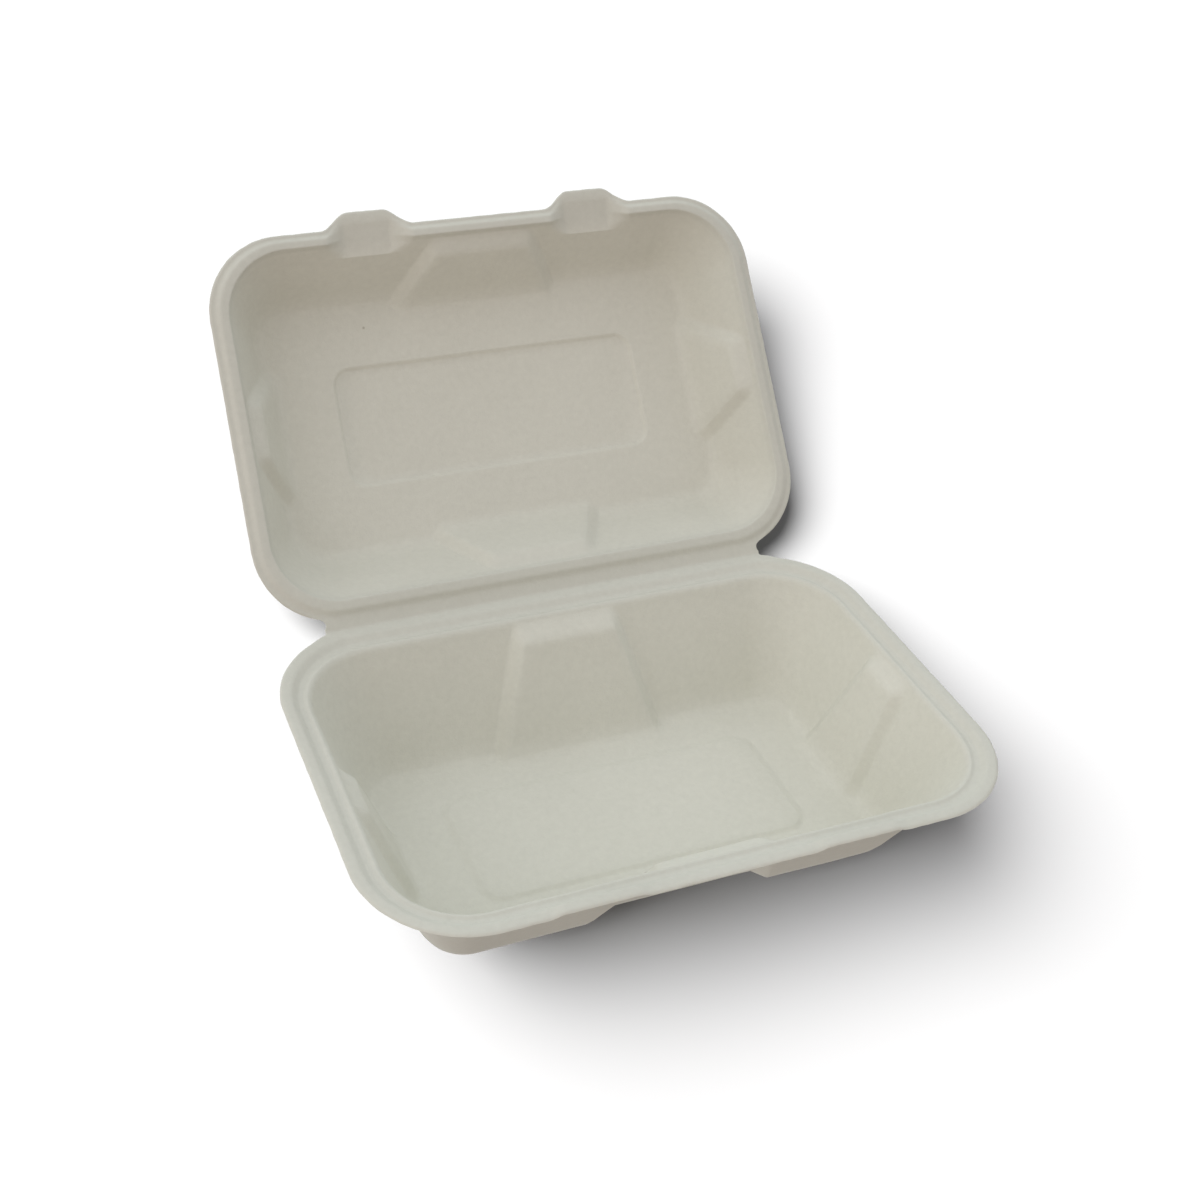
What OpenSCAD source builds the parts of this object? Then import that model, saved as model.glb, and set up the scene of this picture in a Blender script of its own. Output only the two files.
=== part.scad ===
// Molded fibre clamshell container: a tray and a lid pressed as one sheet and joined by a fold.
// Millimetres. Tray and lid are shaped with the tray upright, its mouth centred on the Z axis, and
// the fold along X behind it. The lid is shaped as it lies when closed, then swung open about the
// fold. The open lid outweighs the tray's hold on the table, so the whole leans back until it rests
// on the tray's back foot and on the roof, and stands on z = 0 so, centred on the Z axis.

/* [Tray] */
// Width of the tray across its rim
tray_w = 232; // [218:1:250]
// Depth of the tray from the fold to the front of its rim
tray_d = 154.6; // [146:0.2:170]
// Height of the rim above the surface that the tray stands on
tray_h = 47; // [40:0.5:60]
// Radius of the rim's corners
corner_r = 37.6; // [34:0.2:44]
// Thickness of the pressed sheet
sheet = 0.8; // [0.6:0.05:1]
// Width of the floor, where the lines of the side walls meet it
floor_w = 174; // [160:1:184]
// Depth of the floor, where the lines of the front and back walls meet it
floor_d = 88; // [80:1:96]
// Radius of the floor's corners
floor_r = 13; // [10:1:18]
// How far the rounding between walls and floor reaches along each of them
floor_round = 4.5; // [3:0.5:6]
// Depth of the walls' upper edge below the rim's recess
mouth_drop = 0.6; // [0.4:0.1:1]

/* [Tray rim] */
// Width of the rim at the sides and front
rim_w = 10.5; // [10:0.1:12]
// Width of the rim between the fold and the back wall
fold_rim_w = 12; // [11:0.1:14]
// Width of the flat flange round the rim's outside
flange_w = 3.3; // [2.6:0.1:3.8]
// Depth of the recess that the lid's ridge sinks into
recess = 1.85; // [1.6:0.05:2.4]
// Width of the rounding on each side of the recess
recess_round = 0.8; // [0.6:0.1:1]
// Height of the bead between the recess and the wall
bead = 0.45; // [0.2:0.05:0.6]
// Width of the bead
bead_w = 2.9; // [2.4:0.1:3.2]
// Drop of the trimmed outer edge
edge_drop = 0.7; // [0.3:0.1:1]
// Width of the rounding along the trimmed outer edges
edge_round = 1.3; // [1:0.1:1.6]

/* [Lid] */
// How far the lid's rim lies inside the tray's rim
lid_inset = 3.6; // [3:0.1:4.5]
// Height of the space inside the lid
lid_h = 26; // [22:0.5:36]
// Width of the lid's rim at the sides
lid_rim_w = 8.2; // [7.6:0.1:9]
// Width of the flat flange round the lid's rim
lid_flange_w = 1.7; // [1.4:0.1:2]
// Drop of the lid's trimmed outer edge
lid_edge_drop = 0.5; // [0.2:0.1:0.7]
// Radius of the lid rim's corners
lid_corner_r = 30; // [28:0.5:34]
// Radius of the corners where the lid's rim meets its walls
lid_mouth_r = 24.5; // [22:0.5:26]
// Width of the roof, where the lines of the side walls meet it
roof_w = 183; // [170:1:190]
// Depth of the roof, where the lines of the front and back walls meet it
roof_d = 99; // [90:1:106]
// Radius of the roof's corners
roof_r = 13; // [10:1:18]
// How far the rounding between walls and roof reaches along each of them
roof_round = 3.5; // [2.5:0.5:5]
// Depth of the walls' upper edge below the lid's rim
lid_mouth_drop = 1; // [0.6:0.1:1.4]
// Height of the ridge that sinks into the tray's recess
ridge = 1.3; // [1:0.05:1.4]
// Width of the slope outside the ridge
ridge_slope = 2.8; // [2.6:0.1:3.2]
// Width of the rounding inside the ridge
ridge_round = 1.2; // [0.8:0.1:1.8]

/* [Wall panels] */
// How far the tray's front and back panels stand into the tray
tray_push = 4.8; // [3:0.1:6]
// How far the tray's side panels stand into the tray
tray_side_push = 3.6; // [2.4:0.1:5]
// How far each lid wall's panel stands into the lid
lid_push = 4; // [2.5:0.1:5]
// Width of the slanted face on each side of a panel
facet_w = 4; // [3:0.2:6]
// Depth of the tray panels' shelf below the rim
tray_shelf = 7.5; // [6.5:0.5:10]
// Depth of the lid panels' shelf from the lid's rim
lid_shelf = 4.5; // [4:0.5:6]
// Width of the front and back panels at the rim
long_top = 42; // [36:1:46]
// Width of the tray's front and back panels at the floor
tray_long_foot = 70; // [60:1:74]
// Width of the lid's front and back panels at the roof
lid_long_foot = 72; // [62:1:76]
// Width of the side panels at the rim
short_top = 23; // [20:1:26]
// Width of the tray's side panels at the floor
tray_short_foot = 37; // [30:1:42]
// Width of the lid's side panels at the roof
lid_short_foot = 54; // [46:1:56]

/* [Raised fields] */
// Width of the raised field in the floor
floor_field_w = 122; // [100:1:126]
// Depth of the raised field in the floor
floor_field_d = 49; // [40:1:52]
// Height of the raised field in the floor
floor_field_h = 0.6; // [0.3:0.1:1]
// Width of the raised field on the roof
roof_field_w = 126; // [104:1:130]
// Depth of the raised field on the roof
roof_field_d = 45; // [38:1:52]
// Height of the raised field on the roof
roof_field_h = 1; // [0.5:0.1:1.5]
// Radius of both fields' corners
field_r = 6; // [4:0.5:8]
// Width of the slope round both fields
field_edge = 1.6; // [1:0.1:2.4]

/* [Tabs and catches] */
// Distance between the middles of the two tabs
tab_spacing = 92.4; // [88:0.4:98]
// How far each tab stands out from the lid's rim
tab_out = 6.8; // [5:0.1:7]
// Width of a tab where it leaves the rim
tab_foot = 37.6; // [36:0.2:40]
// Width of a tab at its outer edge
tab_top = 14; // [10:0.5:16]
// Width of the sloping pocket face in a tab
pocket_w = 19; // [17:0.5:21]
// Width of the pocket where its sides meet the rim
pocket_mouth_w = 34.6; // [33:0.2:35.6]
// Depth of the pocket where it runs into the front wall
pocket_depth = 5.6; // [4.5:0.1:6]
// Depth of the pocket's face at its outer edge
pocket_lip = 0.4; // [0.2:0.1:0.6]
// How far the pocket's face reaches past the rim into the front wall
pocket_reach = 1.8; // [1.2:0.1:2.4]
// Height of the catches on the tray's front rim
catch_h = 0.95; // [0.5:0.05:1.2]
// Length of a catch along its top
catch_w = 25; // [22:0.5:27]

/* [Fold] */
// Width of the fold between its two notches
fold_w = 180.8; // [172:0.4:184]
// Radius of the notches at the ends of the fold
notch_r = 2.2; // [1.6:0.1:2.4]
// How far the notches reach into the tray
notch_back = 1.2; // [0.8:0.1:1.6]
// Half of the crease between tray and lid, and half of the gap between the closed rims
crease = 0.15; // [0.15:0.01:0.2]
// Angle that the lid stands open from closed
open_angle = 130; // [118:1:170]

/* [Hidden] */
fibre = [0.78, 0.77, 0.71];
corner_steps = 7;
round_steps = 3;

// Plan of the tray, measured from the middle of its mouth
mouth_w = tray_w - 2 * rim_w;
mouth_d = tray_d - rim_w - fold_rim_w;
mouth_r = corner_r - rim_w;
front_y = mouth_d / 2 + rim_w;
fold_y = mouth_d / 2 + fold_rim_w;
fold_edge_y = fold_y - crease;
floor_depth = tray_h - sheet;

// Where the tray's corner arcs end at the notches, and the centre that they then have
arc_end_x = fold_w / 2 + notch_r / 2;
arc_rise = sqrt(pow(corner_r, 2) - pow(arc_end_x - tray_w / 2 + corner_r, 2));
arc_centre_y = fold_edge_y - notch_back - arc_rise;

// Plan of the lid, which shares the middle and the depth of the tray's mouth
lid_w = tray_w - 2 * lid_inset;
lid_front_y = front_y - lid_inset;
lid_arc_y = fold_y - lid_inset;
lid_mouth_w = lid_w - 2 * lid_rim_w;
tab_x = tab_spacing / 2;

// A station is one ring of a shell, and the stations run from the rim's outer edge to the middle
// of the floor. Its values are the half width, the distances to the front and to the back, the
// corner radius, the y of the back corners' centres, the depth from the plane of the fold, the
// share of the wall passed, the panels' share, the raised field's share and the place in the rim.
HALF_W = 0;
TO_FRONT = 1;
TO_BACK = 2;
RADIUS = 3;
BACK_C = 4;
DEPTH = 5;
WALL = 6;
PANEL = 7;
FIELD = 8;
PLACE = 9;
PAST_RIM = 99;

function mix(a, b, t) = a + (b - a) * t;
function clamp(v) = min(1, max(0, v));
function ease(v) = let(t = clamp(v)) t * t * (3 - 2 * t);
function bend(a, c, b, t) = mix(mix(a, c, t), mix(c, b, t), t);

// A tray or lid below its rim is [mouth width, depth, radius and depth from the fold's plane,
// floor width, depth and radius, depth of the floor, shelf depth, reach of the rounding,
// raised field's width, depth and height]
TRAY_BODY = [
    mouth_w, mouth_d, mouth_r, recess + mouth_drop, floor_w, floor_d, floor_r, floor_depth,
    tray_shelf, floor_round, floor_field_w, floor_field_d, floor_field_h
];
LID_BODY = [
    lid_mouth_w, mouth_d, lid_mouth_r, lid_mouth_drop, roof_w, roof_d, roof_r, lid_h,
    lid_shelf, roof_round, roof_field_w, roof_field_d, -roof_field_h
];

function wall_at(b, s, panel, place) =
    let(hx = mix(b[0], b[4], s) / 2, hy = mix(b[1], b[5], s) / 2, r = mix(b[2], b[6], s))
    [hx, hy, hy, r, hy - r, mix(b[3], b[7], s), s, panel, 0, place];

function floor_at(b, inset) =
    let(hx = b[4] / 2 - inset, hy = b[5] / 2 - inset, r = b[6] - inset / 2)
    [hx, hy, hy, r, hy - r, b[7], 1, 1, 0, PAST_RIM];

function field_at(b, grow, depth) =
    let(hx = b[10] / 2 + grow, hy = b[11] / 2 + grow, r = field_r + grow)
    [hx, hy, hy, r, hy - r, depth, 1, 0, 1, PAST_RIM];

// Wall, rounding, floor and raised field, where n is the number of rim stations before them
function body_stations(b, n) =
    let(
        fall = b[7] - b[3],
        side_run = sqrt(pow((b[0] - b[4]) / 2, 2) + fall * fall),
        foot = wall_at(b, 1 - b[9] / side_run, 1, PAST_RIM),
        turn = wall_at(b, 1, 1, PAST_RIM),
        flat = floor_at(b, b[9])
    )
    [
        wall_at(b, 0.08 * (b[8] - b[3]) / fall, 0, n),
        wall_at(b, (b[8] - b[3]) / fall, 1, n + 1),
        for (k = [0 : round_steps]) bend(foot, turn, flat, k / round_steps),
        field_at(b, field_edge, b[7]),
        field_at(b, 0, b[7] - b[12])
    ];

// Rim of the tray: distance in from the outer edge, and depth below the flange
tray_flat_w = flange_w + recess_round;
TRAY_RIM = [
    [0, edge_drop],
    [0.4 * edge_round, 0.3 * edge_drop],
    [edge_round, 0],
    [flange_w, 0],
    [tray_flat_w, 0.3 * recess_round],
    [rim_w - bead_w - recess_round, recess - 0.3 * recess_round],
    [rim_w - bead_w, recess],
    [rim_w - 0.8 * bead_w, recess - 0.3 * bead],
    [rim_w - 0.55 * bead_w, recess - bead],
    [rim_w - 0.28 * bead_w, recess - 0.5 * bead],
    [rim_w - 0.07 * bead_w, recess + mouth_drop / 2]
];

function tray_rim(o, h, n) =
    let(f = o / rim_w, back = mix(fold_edge_y, mouth_d / 2, f))
    [
        tray_w / 2 - o, front_y - o, back, corner_r - o,
        mix(arc_centre_y, mouth_d / 2 - mouth_r, f), h + crease, 0, 0, 0, n
    ];

// Rim of the lid: distance in from the outer edge, and depth toward the roof
LID_RIM = [
    [0, lid_edge_drop],
    [0.3 * edge_round, 0.24 * lid_edge_drop],
    [0.75 * edge_round, 0],
    [lid_flange_w, 0],
    [lid_flange_w + 0.24 * ridge_slope, -0.2 * ridge],
    [lid_flange_w + 0.72 * ridge_slope, -0.9 * ridge],
    [lid_flange_w + ridge_slope, -ridge],
    [lid_rim_w - ridge_round, -ridge],
    [lid_rim_w - 0.45 * ridge_round, -0.75 * ridge],
    [lid_rim_w - 0.06 * ridge_round, -0.08 * ridge]
];

// At the fold the lid's flange is as wide as the tray's, so that the ridge clears the recess
function lid_rim(o, h, n) =
    let(
        f = o / lid_rim_w,
        flange_f = o / lid_flange_w,
        ridge_f = (o - lid_flange_w) / (lid_rim_w - lid_flange_w),
        flange_back = mix(fold_edge_y, mouth_d / 2, tray_flat_w / rim_w),
        is_flange = o < lid_flange_w,
        ridge_back = mix(flange_back, mouth_d / 2, ridge_f),
        back = is_flange ? mix(fold_edge_y, flange_back, flange_f) : ridge_back,
        arc_back = is_flange ? mix(lid_arc_y, flange_back, flange_f) : ridge_back,
        r = mix(lid_corner_r, lid_mouth_r, f)
    )
    [
        lid_w / 2 - o, mix(lid_front_y, mouth_d / 2, f), back, r,
        arc_back - r, h + crease, 0, 0, 0, n
    ];

TRAY = concat(
    [for (n = [0 : len(TRAY_RIM) - 1]) tray_rim(TRAY_RIM[n][0], TRAY_RIM[n][1], n)],
    body_stations(TRAY_BODY, len(TRAY_RIM))
);
LID = concat(
    [for (n = [0 : len(LID_RIM) - 1]) lid_rim(LID_RIM[n][0], LID_RIM[n][1], n)],
    body_stations(LID_BODY, len(LID_RIM))
);

// A column is a line of points that runs down the sheet. Its values are its kind, its place along
// the edge at the rim and at the floor, its share of a panel, and its distance from the middle of
// the nearest tab, or its number in a notch.
BACK = 0;
NOTCH = 1;
BACK_CORNER = 2;
SIDE = 3;
FRONT_CORNER = 4;
FRONT = 5;
FAR = 99;

// Distances of a tab's columns from its middle, and the same on both sides of it
TAB_STEPS = [
    tab_foot / 2, (catch_w + pocket_mouth_w) / 4, catch_w / 2, pocket_w / 2, pocket_w / 4
];
TAB_OFFSETS = concat(TAB_STEPS, [for (k = [len(TAB_STEPS) - 1 : -1 : 0]) -TAB_STEPS[k]]);

// The two lines of points along one side of a panel
function panel_side(kind, top, foot, sign) = [
    [kind, sign * top / 2, sign * foot / 2, 0, FAR],
    [kind, sign * (top / 2 - facet_w), sign * (foot / 2 - facet_w), 1, FAR]
];

// Columns of the right half, from the middle of the fold round to the middle of the front, where
// those that end in a notch lie a share of the way from the corner to the panel
NOTCH_SHARE = 0.09;
function half_columns(stations, rim, long_foot, short_foot, notches) =
    let(
        top = stations[len(rim)],
        top_run = top[HALF_W] - top[RADIUS],
        low = stations[len(stations) - 3],
        ratio = (low[HALF_W] - low[RADIUS] - long_foot / 2) / (top_run - long_top / 2),
        back = panel_side(BACK, long_top, long_foot, 1),
        upper = panel_side(SIDE, short_top, short_foot, 1),
        lower = panel_side(SIDE, short_top, short_foot, -1),
        front = panel_side(FRONT, long_top, long_foot, 1)
    )
    concat(
        [[BACK, 0, 0, 1, FAR], back[1], back[0]],
        [
            for (k = [notches : -1 : 1])
                let(x = mix(top_run, long_top / 2, k * NOTCH_SHARE))
                [NOTCH, x, long_foot / 2 + (x - long_top / 2) * ratio, 0, k]
        ],
        [for (k = [corner_steps : -1 : 0]) [BACK_CORNER, k / corner_steps, 0, 0, FAR]],
        [upper[0], upper[1], lower[1], lower[0]],
        [for (k = [0 : corner_steps]) [FRONT_CORNER, k / corner_steps, 0, 0, FAR]],
        [
            for (u = TAB_OFFSETS)
                let(x = tab_x + u)
                [FRONT, x, long_foot / 2 + (x - long_top / 2) * ratio, 0, abs(u)]
        ],
        [front[0], front[1], [FRONT, 0, 0, 1, FAR]]
    );

// Place along a straight side, which draws in onto the raised field across the floor
function along(c, s, run, field_run) =
    mix(mix(c[1], c[2], s[WALL]), c[2] * field_run / run, s[FIELD]);

// How far a tab stands out, how deep its pocket is and how high a catch is, by distance u
function bulge(u) = tab_out * ease((tab_foot / 2 - u) / (tab_foot / 2 - tab_top / 2));
function pocket(u) = clamp((pocket_mouth_w - 2 * u) / (pocket_mouth_w - pocket_w));
function catch_share(u) = clamp((pocket_mouth_w - 2 * u) / (pocket_mouth_w - catch_w));

// Points of the notched ends of the fold, at the sheet's edge
function tray_notch(k) =
    k == 2 ? [fold_w / 2, fold_edge_y] : [fold_w / 2 + notch_r / 4, fold_edge_y - 0.75 * notch_back];
function lid_notch(k) =
    k == 3 ? [fold_w / 2, fold_edge_y] :
    let(a = 60 * (k + 1))
    [fold_w / 2 + notch_r * (0.75 + cos(a)), fold_y - notch_r * (1.2 + sin(a))];

// Point of a column at a station, as x, y and depth, followed by the column's outward direction,
// where push holds how far the long panels and the side panels stand in
function plain_point(c, s, stations, push, is_lid) =
    let(
        low = stations[len(stations) - 3],
        field = stations[len(stations) - 1],
        inward = push[c[0] == SIDE ? 1 : 0] * c[3] * s[PANEL],
        cx = s[HALF_W] - s[RADIUS],
        x = along(c, s, low[HALF_W] - low[RADIUS], field[HALF_W] - field[RADIUS]),
        y = along(c, s, low[TO_FRONT] - low[RADIUS], field[TO_FRONT] - field[RADIUS]),
        flat_depth = s[PLACE] < 3 ? crease : s[DEPTH],
        in_rim = clamp(s[PLACE] / 3)
    )
    c[0] == BACK ? [x, s[TO_BACK] - inward, flat_depth, 0, 1] :
    c[0] == NOTCH ?
        let(
            edge = is_lid ? lid_notch(c[4]) : tray_notch(c[4]),
            p = mix(edge, [x, s[TO_BACK]], in_rim)
        )
        [p[0], p[1], flat_depth, 0, 1] :
    c[0] == BACK_CORNER ?
        let(
            notch_turn = acos(clamp((fold_w / 2 + notch_r * 0.6 - cx) / s[RADIUS])),
            tray_rise = s[TO_BACK] - notch_back * (1 - in_rim) - s[BACK_C],
            turn = asin(min(1, tray_rise / s[RADIUS])),
            lid_turn = mix(notch_turn, 90, in_rim),
            a = c[1] * (is_lid ? lid_turn : turn)
        )
        [cx + s[RADIUS] * cos(a), s[BACK_C] + s[RADIUS] * sin(a), s[DEPTH], cos(a), sin(a)] :
    c[0] == SIDE ? [s[HALF_W] - inward, y, s[DEPTH], 1, 0] :
    c[0] == FRONT_CORNER ?
        let(a = -90 * c[1])
        [
            cx + s[RADIUS] * cos(a), s[RADIUS] - s[TO_FRONT] + s[RADIUS] * sin(a), s[DEPTH],
            cos(a), sin(a)
        ] :
    [x, inward - s[TO_FRONT], s[DEPTH], 0, -1];

// The catch raises the tray's flange
CATCH_PLACES = 4;
function tray_point(c, s) =
    let(p = plain_point(c, s, TRAY, [tray_push, tray_side_push], false))
    c[4] < FAR && c[0] == FRONT && s[PLACE] <= CATCH_PLACES ?
        p - [0, 0, catch_h * catch_share(c[4]), 0, 0] :
    p;

// The tab stands out from the lid's flange, and its pocket slopes from there into the front wall
LIP_PLACES = 3;
POCKET_PLACES = len(LID_RIM) + 1;
tab_clear = catch_h + crease;
face_out = [lid_front_y + tab_out / 3, pocket_lip + tab_clear];
face_in = [lid_front_y - lid_rim_w - pocket_reach, pocket_depth];
function lid_point(c, s) =
    let(p = plain_point(c, s, LID, [lid_push, lid_push], true), u = c[4])
    c[0] != FRONT || u == FAR || s[PLACE] > POCKET_PLACES ? p :
    s[PLACE] <= LIP_PLACES ?
        p + [0, -bulge(u), tab_clear * catch_share(u), 0, 0] :
    let(
        t = (s[PLACE] - LIP_PLACES - 1) / (POCKET_PLACES - LIP_PLACES - 1),
        face = mix(face_out, face_in, t)
    )
    mix(p, [p[0], -face[0], face[1], p[3], p[4]], pocket(u));

// Second skin of the sheet, a thickness away across the line of each column
function other_skin(rows) = [
    for (j = [0 : len(rows) - 1]) [
        for (i = [0 : len(rows[j]) - 1])
            let(
                p = rows[j][i],
                a = rows[max(0, j - 1)][i],
                b = rows[min(len(rows) - 1, j + 1)][i],
                run = -abs((b[0] - a[0]) * p[3] + (b[1] - a[1]) * p[4]),
                size = sqrt(run * run + pow(b[2] - a[2], 2)),
                is_end = j == 0 || j == len(rows) - 1,
                out = is_end ? 0 : sheet * (b[2] - a[2]) / size,
                down = is_end ? sheet : -sheet * run / size
            )
            [p[0] + out * p[3], p[1] + out * p[4], p[2] + down]
    ]
];

// Whole ring from its right half
function ring(half) = concat(
    [for (p = half) [p[0], p[1], p[2]]],
    [for (i = [len(half) - 2 : -1 : 1]) [-half[i][0], half[i][1], half[i][2]]]
);

function quad(a, b, c, d) = [[a, b, c], [a, c, d]];

// Closed sheet between the two skins, whose depths run along z
module sheet_body(rows) {
    inner = [for (r = rows) ring(r)];
    outer = [for (r = other_skin(rows)) ring(r)];
    n = len(inner[0]);
    m = len(inner);
    skin = n * m;
    last = (m - 1) * n;
    middles = [[0, 0, inner[m - 1][0][2]], [0, 0, outer[m - 1][0][2]]];
    points = concat([for (r = concat(inner, outer)) each r], middles);
    faces = concat(
        [
            for (j = [0 : m - 2], i = [0 : n - 1])
                let(a = j * n + i, b = j * n + (i + 1) % n)
                each concat(
                    quad(a, a + n, b + n, b),
                    quad(a + skin, b + skin, b + n + skin, a + n + skin)
                )
        ],
        [for (i = [0 : n - 1]) each quad(i, (i + 1) % n, (i + 1) % n + skin, i + skin)],
        [
            for (i = [0 : n - 1])
                let(a = last + i, b = last + (i + 1) % n)
                each [[2 * skin, b, a], [2 * skin + 1, a + skin, b + skin]]
        ]
    );
    polyhedron(points, faces);
}

TRAY_COLUMNS = half_columns(TRAY, TRAY_RIM, tray_long_foot, tray_short_foot, 2);
LID_COLUMNS = half_columns(LID, LID_RIM, lid_long_foot, lid_short_foot, 3);
TRAY_ROWS = [for (s = TRAY) [for (c = TRAY_COLUMNS) tray_point(c, s)]];
LID_ROWS = [for (s = LID) [for (c = LID_COLUMNS) lid_point(c, s)]];

// Where a point of the closed lid comes to lie as y and z when the lid has swung open
function swung(p) =
    let(y = p[1] - fold_y)
    [
        fold_y + y * cos(open_angle) + p[2] * sin(open_angle),
        tray_h - y * sin(open_angle) + p[2] * cos(open_angle)
    ];

// All points of tray and open lid as y and z while the tray is upright
TRAY_SIDE = [for (r = concat(TRAY_ROWS, other_skin(TRAY_ROWS))) each [for (p = r) [p[1], tray_h - p[2]]]];
LID_SIDE = [for (r = concat(LID_ROWS, other_skin(LID_ROWS))) each [for (p = r) swung(p)]];

// Height of the lowest of these points when the whole leans back, and the lean at which tray and
// lid both touch the table
function lowest(points, lean) =
    let(c = cos(lean), s = sin(lean))
    min([for (p = points) p[1] * c - p[0] * s]);
function settle(from, to, steps) =
    let(lean = (from + to) / 2)
    steps == 0 ? lean :
    lowest(LID_SIDE, lean) > lowest(TRAY_SIDE, lean) ? settle(lean, to, steps - 1) :
    settle(from, lean, steps - 1);
MOST_LEAN = 60;
lean = settle(0, MOST_LEAN, 20);
spread = [for (p = concat(TRAY_SIDE, LID_SIDE)) p[0] * cos(lean) + p[1] * sin(lean)];
middle_y = (min(spread) + max(spread)) / 2;

// Sets the upright whole down as it comes to rest
module settled() {
    translate([0, -middle_y, -lowest(TRAY_SIDE, lean)])
        rotate([-lean, 0, 0])
            children();
}

module tray() {
    color(fibre)
        settled()
            translate([0, 0, tray_h])
                mirror([0, 0, 1])
                    sheet_body(TRAY_ROWS);
}

module lid() {
    color(fibre)
        settled()
            translate([0, fold_y, tray_h])
                rotate([-open_angle, 0, 0])
                    translate([0, -fold_y, 0])
                        sheet_body(LID_ROWS);
}

tray();
lid();
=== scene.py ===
import math

import bmesh
import bpy
import numpy as np
from mathutils import Matrix, Vector, noise


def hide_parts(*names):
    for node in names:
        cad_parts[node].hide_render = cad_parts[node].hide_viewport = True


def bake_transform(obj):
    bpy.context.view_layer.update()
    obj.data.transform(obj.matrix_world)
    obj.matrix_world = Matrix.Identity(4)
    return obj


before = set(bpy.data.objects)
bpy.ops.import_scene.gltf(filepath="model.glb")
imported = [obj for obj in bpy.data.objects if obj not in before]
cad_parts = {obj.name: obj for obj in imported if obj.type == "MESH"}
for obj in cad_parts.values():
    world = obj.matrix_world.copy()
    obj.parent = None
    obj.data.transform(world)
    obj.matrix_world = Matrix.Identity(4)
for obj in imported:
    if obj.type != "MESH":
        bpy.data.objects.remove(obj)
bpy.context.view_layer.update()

# Sizes in millimetres, as in the part's source, with the tray upright and its mouth centred on Z
TRAY_W, TRAY_D, TRAY_H, CORNER_R, SHEET = 232.0, 154.6, 47.0, 37.6, 0.8
RIM_W, FOLD_RIM_W, FLANGE_W, RECESS, RECESS_ROUND = 10.5, 12.0, 3.3, 1.85, 0.8
BEAD, BEAD_W, EDGE_DROP, EDGE_ROUND, MOUTH_DROP = 0.6, 2.9, 0.7, 1.3, 0.6
LID_INSET, LID_RIM_W, LID_CORNER_R, LID_MOUTH_R, LID_FLANGE = 3.6, 8.2, 30.0, 24.5, 1.7
LID_DROP, RIDGE, RIDGE_SLOPE, RIDGE_ROUND = 0.5, 1.3, 2.8, 1.2
FACET_W, LONG_TOP, SHORT_TOP = 4.0, 42.0, 23.0
FIELD_R, FIELD_EDGE = 6.0, 1.6
TAB_SPACING, TAB_OUT, TAB_FOOT, TAB_TOP = 92.4, 6.8, 37.6, 14.0
POCKET_W, POCKET_MOUTH_W, POCKET_DEPTH, POCKET_REACH, POCKET_LIP = 19.0, 34.6, 5.6, 1.8, 0.4
CATCH_H, CATCH_W, FOLD_LINE = 0.95, 25.0, 0.1
FOLD_W, NOTCH_R, NOTCH_BACK, CREASE, OPEN = 180.8, 2.2, 1.2, 0.15, 130.0
LEAN, MIDDLE_Y, LOW_Z = 34.9983, 103.639, -24.1085

MOUTH_W = TRAY_W - 2 * RIM_W
MOUTH_D = TRAY_D - RIM_W - FOLD_RIM_W
FRONT_Y = MOUTH_D / 2 + RIM_W
FOLD_Y = MOUTH_D / 2 + FOLD_RIM_W
FOLD_EDGE = FOLD_Y - CREASE
ARC_END_X = FOLD_W / 2 + NOTCH_R / 2
ARC_CENTRE_Y = FOLD_EDGE - NOTCH_BACK - math.sqrt(CORNER_R**2 - (ARC_END_X - TRAY_W / 2 + CORNER_R) ** 2)
LID_W = TRAY_W - 2 * LID_INSET
LID_FRONT_Y = FRONT_Y - LID_INSET
LID_ARC_Y = FOLD_Y - LID_INSET
TAB_X = TAB_SPACING / 2

# Depths are measured from the fold's plane. The shelf is where the panels start, and foot_round
# is the reach of the rounding between wall and floor
TRAY = dict(
    mouth_w=MOUTH_W, mouth_d=MOUTH_D, mouth_r=CORNER_R - RIM_W, mouth_deep=RECESS + MOUTH_DROP,
    floor_w=174, floor_d=88, floor_r=13, floor_deep=TRAY_H - SHEET, shelf_deep=7.5, foot_round=4.5,
    field_w=122, field_d=49, field_h=0.85, field_edge=3.0,
    push=4.8, side_push=3.6, long_foot=70.0, short_foot=37.0, is_lid=False,
)
LID = dict(
    mouth_w=LID_W - 2 * LID_RIM_W, mouth_d=MOUTH_D, mouth_r=LID_MOUTH_R, mouth_deep=1.0,
    floor_w=183, floor_d=99, floor_r=13, floor_deep=26, shelf_deep=4.5, foot_round=3.5,
    field_w=126, field_d=45, field_h=-1.25, field_edge=FIELD_EDGE,
    push=4.0, side_push=4.0, long_foot=72.0, short_foot=54.0, is_lid=True,
)
TRAY_FLAT = FLANGE_W + RECESS_ROUND
TRAY_RIM = [
    (0, EDGE_DROP), (0.4 * EDGE_ROUND, 0.3 * EDGE_DROP), (EDGE_ROUND, 0), (FLANGE_W, 0),
    (TRAY_FLAT, 0.3 * RECESS_ROUND), (RIM_W - BEAD_W - 2 * RECESS_ROUND, RECESS - 0.3 * RECESS_ROUND),
    (RIM_W - BEAD_W, RECESS), (RIM_W - 0.8 * BEAD_W, RECESS - 0.3 * BEAD),
    (RIM_W - 0.55 * BEAD_W, RECESS - BEAD), (RIM_W - 0.28 * BEAD_W, RECESS - 0.5 * BEAD),
    (RIM_W - 0.07 * BEAD_W, RECESS + MOUTH_DROP / 2),
]
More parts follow.
